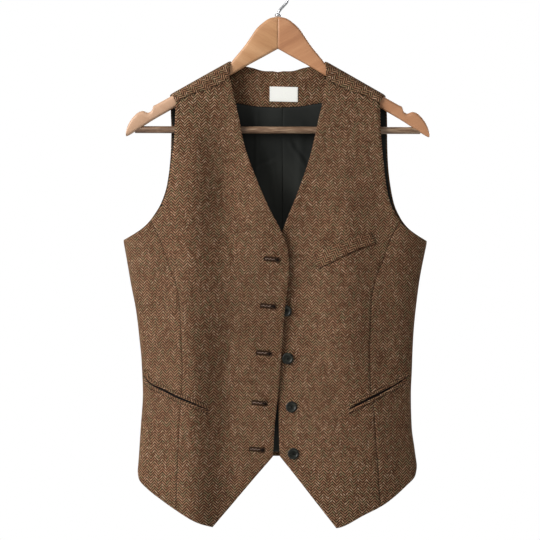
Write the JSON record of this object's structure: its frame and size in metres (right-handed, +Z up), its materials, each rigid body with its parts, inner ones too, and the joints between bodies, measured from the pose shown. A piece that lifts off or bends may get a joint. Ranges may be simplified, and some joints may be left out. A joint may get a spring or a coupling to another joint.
{
  "type": "suit waistcoat on a wooden hanger",
  "caption": "Fitted tweed suit waistcoat with a V neck, buttoned front, chest welt and slanted jetted pockets, hanging on a wooden hanger with a trouser bar",
  "frame": {"origin": "inside top of the hanger's hook, where it rests on a rail", "axes": "+Z up, the front faces -Y, the wearer's right side is at -X"},
  "size_m": [0.4328, 0.0774, 0.7876],
  "materials": {
    "tweed": "brown herringbone wool tweed, matt, slightly hairy",
    "lining": "black satin lining with a soft sheen",
    "label": "plain white woven label",
    "buttons": "dark moulded buttons, half gloss",
    "wood": "clear lacquered beech",
    "bar": "turned wooden bar, darker",
    "wire": "plated steel wire"
  },
  "bodies": {
    "root": {"front_right_centre": "tweed", "front_right_side": "tweed", "front_left_centre": "tweed", "front_left_side": "tweed", "back_right": "tweed", "back_left": "tweed", "back_neck_facing": "tweed", "back_lining_right": "lining", "back_lining_left": "lining", "label": "label", "chest_welt": "tweed", "pocket_right_upper_lip": "tweed", "pocket_right_lower_lip": "tweed", "pocket_left_upper_lip": "tweed", "pocket_left_lower_lip": "tweed", "button_1": "buttons", "button_2": "buttons", "button_3": "buttons", "button_4": "buttons", "button_5": "buttons", "hanger_arm_right": "wood", "hanger_arm_left": "wood", "hanger_bar": "bar", "hanger_hook": "wire"}
  },
  "joints": []
}
